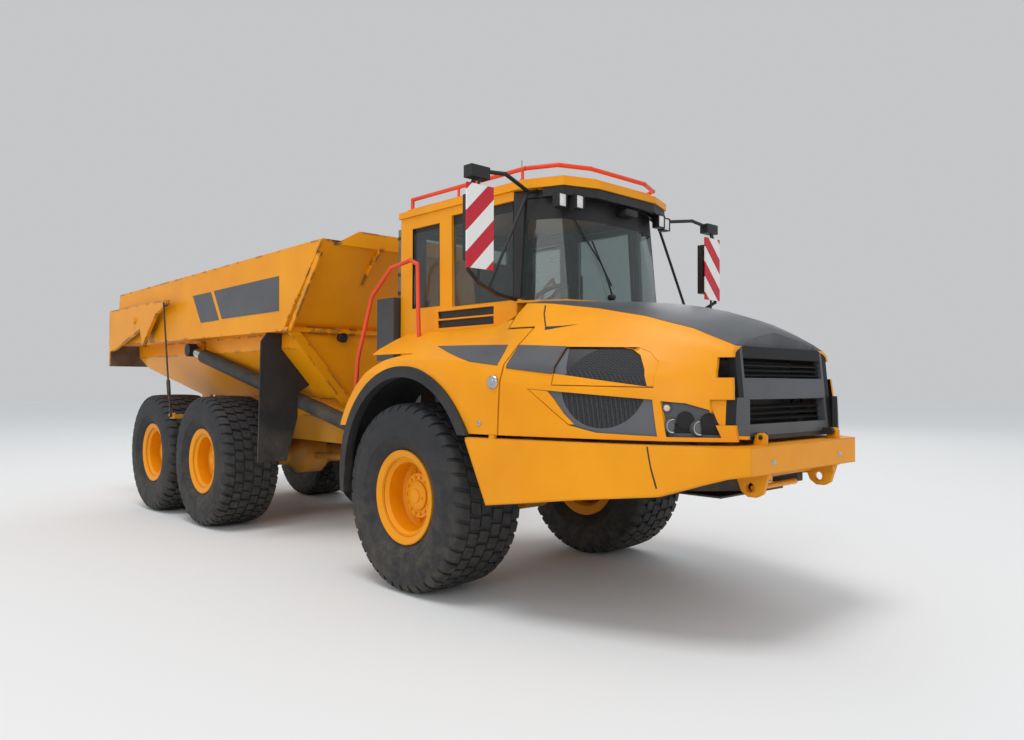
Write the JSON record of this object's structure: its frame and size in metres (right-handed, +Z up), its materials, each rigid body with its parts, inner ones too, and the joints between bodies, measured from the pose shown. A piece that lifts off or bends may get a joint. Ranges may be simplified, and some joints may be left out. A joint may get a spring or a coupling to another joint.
{
  "type": "articulated dump truck",
  "caption": "Articulated dump truck: cab unit steered at a roll hitch, tipping V body, wire-opened tailgate, tilting hood, opening cab door",
  "frame": {"origin": "centre of the bounding box in plan, ground level", "axes": "X forward to the nose, Y to the truck's left, Z up"},
  "size_m": [10.36, 3.32, 3.5405],
  "materials": {
    "yellow_paint": "semi-gloss, worn",
    "dark_paint": "satin",
    "black_plastic": "matte",
    "rubber": "matte",
    "tyre_rubber": "matte, dusty",
    "orange_paint": "gloss",
    "board_paint": "gloss",
    "glass": "clear, slightly tinted",
    "pipe_steel": "dull",
    "rod_chrome": "polished",
    "wire_steel": "dull"
  },
  "bodies": {
    "front_unit": {"front_frame": "dark_paint", "engine_block": "dark_paint", "radiators": "dark_paint", "front_axle": "yellow_paint", "bumper": "yellow_paint", "fenders": "yellow_paint", "arch_flares": "rubber", "cab_shell": "yellow_paint", "cab_roof": "yellow_paint", "cab_glass": "glass", "cab_interior": "black_plastic", "roof_lights": "black_plastic", "roof_rail": "orange_paint", "handrails": "orange_paint", "mirror_arms": "black_plastic", "warning_boards": "board_paint", "exhaust_stack": "pipe_steel", "muffler_box": "dark_paint", "left_steps": "dark_paint"},
    "hood": {"hood": "yellow_paint", "hood_cap": "dark_paint", "front_grille": "dark_paint", "side_grilles": "dark_paint", "headlamps": "dark_paint"},
    "fan": {"radiator_fan": "black_plastic"},
    "cab_door": {"cab_door": "yellow_paint", "door_glass": "glass"},
    "hitch": {"hitch_block": "dark_paint"},
    "steer_barrel_l": {"steer_barrel_l": "dark_paint"},
    "steer_rod_l": {"steer_rod_l": "rod_chrome"},
    "steer_barrel_r": {"steer_barrel_r": "dark_paint"},
    "steer_rod_r": {"steer_rod_r": "rod_chrome"},
    "rear_unit": {"rear_frame": "yellow_paint", "bogie_beams": "dark_paint", "rear_axles": "yellow_paint"},
    "dump_body": {"dump_body": "yellow_paint", "mud_flaps": "rubber"},
    "tailgate": {"tailgate": "yellow_paint"},
    "gate_wires": {"gate_wires": "wire_steel"},
    "hoist_barrel_l": {"hoist_barrel_l": "dark_paint"},
    "hoist_rod_l": {"hoist_rod_l": "rod_chrome"},
    "hoist_barrel_r": {"hoist_barrel_r": "dark_paint"},
    "hoist_rod_r": {"hoist_rod_r": "rod_chrome"},
    "wheel_fl": {"tyre_fl": "tyre_rubber", "rim_fl": "yellow_paint"},
    "wheel_fr": {"tyre_fr": "tyre_rubber", "rim_fr": "yellow_paint"},
    "wheel_ml": {"tyre_ml": "tyre_rubber", "rim_ml": "yellow_paint"},
    "wheel_mr": {"tyre_mr": "tyre_rubber", "rim_mr": "yellow_paint"},
    "wheel_rl": {"tyre_rl": "tyre_rubber", "rim_rl": "yellow_paint"},
    "wheel_rr": {"tyre_rr": "tyre_rubber", "rim_rr": "yellow_paint"}
  },
  "joints": [
    {"name": "steer", "type": "hinge", "parent": "front_unit", "child": "hitch", "pos_m": [1.15, 0, 0.93], "axis": [0, 0, 1], "range_deg": [-45, 45]},
    {"name": "roll", "type": "hinge", "parent": "hitch", "child": "rear_unit", "pos_m": [0.65, 0, 0.93], "axis": [1, 0, 0], "range_deg": [-15, 15]},
    {"name": "steer_cylinder_l", "type": "hinge", "parent": "front_unit", "child": "steer_barrel_l", "pos_m": [2.1, 0.5, 0.87], "axis": [0, 0, 1], "range_deg": [-6.15, 6.15]},
    {"name": "steer_stroke_l", "type": "slide", "parent": "steer_barrel_l", "child": "steer_rod_l", "axis": [-0.9889, -0.1483, 0], "range_m": [-0.26069, 0.26069]},
    {"name": "steer_cylinder_r", "type": "hinge", "parent": "front_unit", "child": "steer_barrel_r", "pos_m": [2.1, -0.5, 0.87], "axis": [0, 0, 1], "range_deg": [-6.15, 6.15]},
    {"name": "steer_stroke_r", "type": "slide", "parent": "steer_barrel_r", "child": "steer_rod_r", "axis": [-0.9889, 0.1483, 0], "range_m": [-0.26069, 0.26069]},
    {"name": "body_tip", "type": "hinge", "parent": "rear_unit", "child": "dump_body", "pos_m": [-4.04, 0, 1.42], "axis": [0, -1, 0], "range_deg": [0, 74]},
    {"name": "tailgate_swing", "type": "hinge", "parent": "dump_body", "child": "tailgate", "pos_m": [-4.04, 0, 2.62], "axis": [0, 1, 0], "range_deg": [0, 80.45]},
    {"name": "gate_wire_swing", "type": "hinge", "parent": "rear_unit", "child": "gate_wires", "pos_m": [-2.62, 0, 1.33], "axis": [0, -1, 0], "range_deg": [0, 60.86]},
    {"name": "hoist_cylinder_l", "type": "hinge", "parent": "rear_unit", "child": "hoist_barrel_l", "pos_m": [0.26, 0.59, 1.27], "axis": [0.3589, 0.5188, 0.7759], "range_deg": [0, 5.48]},
    {"name": "hoist_stroke_l", "type": "slide", "parent": "hoist_barrel_l", "child": "hoist_rod_l", "axis": [-0.9333, 0.2124, 0.2896], "range_m": [0, 1.8749]},
    {"name": "hoist_cylinder_r", "type": "hinge", "parent": "rear_unit", "child": "hoist_barrel_r", "pos_m": [0.26, -0.59, 1.27], "axis": [-0.3589, 0.5188, -0.7759], "range_deg": [0, 5.48]},
    {"name": "hoist_stroke_r", "type": "slide", "parent": "hoist_barrel_r", "child": "hoist_rod_r", "axis": [-0.9333, -0.2124, 0.2896], "range_m": [0, 1.8749]},
    {"name": "hood_tilt", "type": "hinge", "parent": "front_unit", "child": "hood", "pos_m": [5.122, 0, 1.388], "axis": [0, 1, 0], "range_deg": [0, 90]},
    {"name": "fan_spin", "type": "hinge", "parent": "front_unit", "child": "fan", "pos_m": [4.2, -0.83, 1.7], "axis": [0, 1, 0], "continuous": true},
    {"name": "door_swing", "type": "hinge", "parent": "front_unit", "child": "cab_door", "pos_m": [2.26, 0.843, 2.5], "axis": [0, 0, 1], "range_deg": [0, 80]},
    {"name": "wheel_fl", "type": "hinge", "parent": "front_unit", "child": "wheel_fl", "pos_m": [2.36, 1.129, 0.79], "axis": [0, 1, 0], "continuous": true},
    {"name": "wheel_fr", "type": "hinge", "parent": "front_unit", "child": "wheel_fr", "pos_m": [2.36, -1.129, 0.79], "axis": [0, 1, 0], "continuous": true},
    {"name": "wheel_ml", "type": "hinge", "parent": "rear_unit", "child": "wheel_ml", "pos_m": [-1.818, 1.129, 0.79], "axis": [0, 1, 0], "continuous": true},
    {"name": "wheel_mr", "type": "hinge", "parent": "rear_unit", "child": "wheel_mr", "pos_m": [-1.818, -1.129, 0.79], "axis": [0, 1, 0], "continuous": true},
    {"name": "wheel_rl", "type": "hinge", "parent": "rear_unit", "child": "wheel_rl", "pos_m": [-3.488, 1.129, 0.79], "axis": [0, 1, 0], "continuous": true},
    {"name": "wheel_rr", "type": "hinge", "parent": "rear_unit", "child": "wheel_rr", "pos_m": [-3.488, -1.129, 0.79], "axis": [0, 1, 0], "continuous": true}
  ],
  "couplings": [
    {"joint": "steer_cylinder_l", "follows": "steer", "ratio": 0.13634},
    {"joint": "steer_stroke_l", "follows": "steer", "m_per_rad": 0.33128},
    {"joint": "steer_cylinder_r", "follows": "steer", "ratio": 0.13634},
    {"joint": "steer_stroke_r", "follows": "steer", "m_per_rad": -0.33128},
    {"joint": "tailgate_swing", "follows": "body_tip", "ratio": 1.0871},
    {"joint": "gate_wire_swing", "follows": "body_tip", "ratio": 0.82225},
    {"joint": "hoist_cylinder_l", "follows": "body_tip", "ratio": 0.07393},
    {"joint": "hoist_stroke_l", "follows": "body_tip", "m_per_rad": 1.4513},
    {"joint": "hoist_cylinder_r", "follows": "body_tip", "ratio": 0.07393},
    {"joint": "hoist_stroke_r", "follows": "body_tip", "m_per_rad": 1.4513}
  ]
}
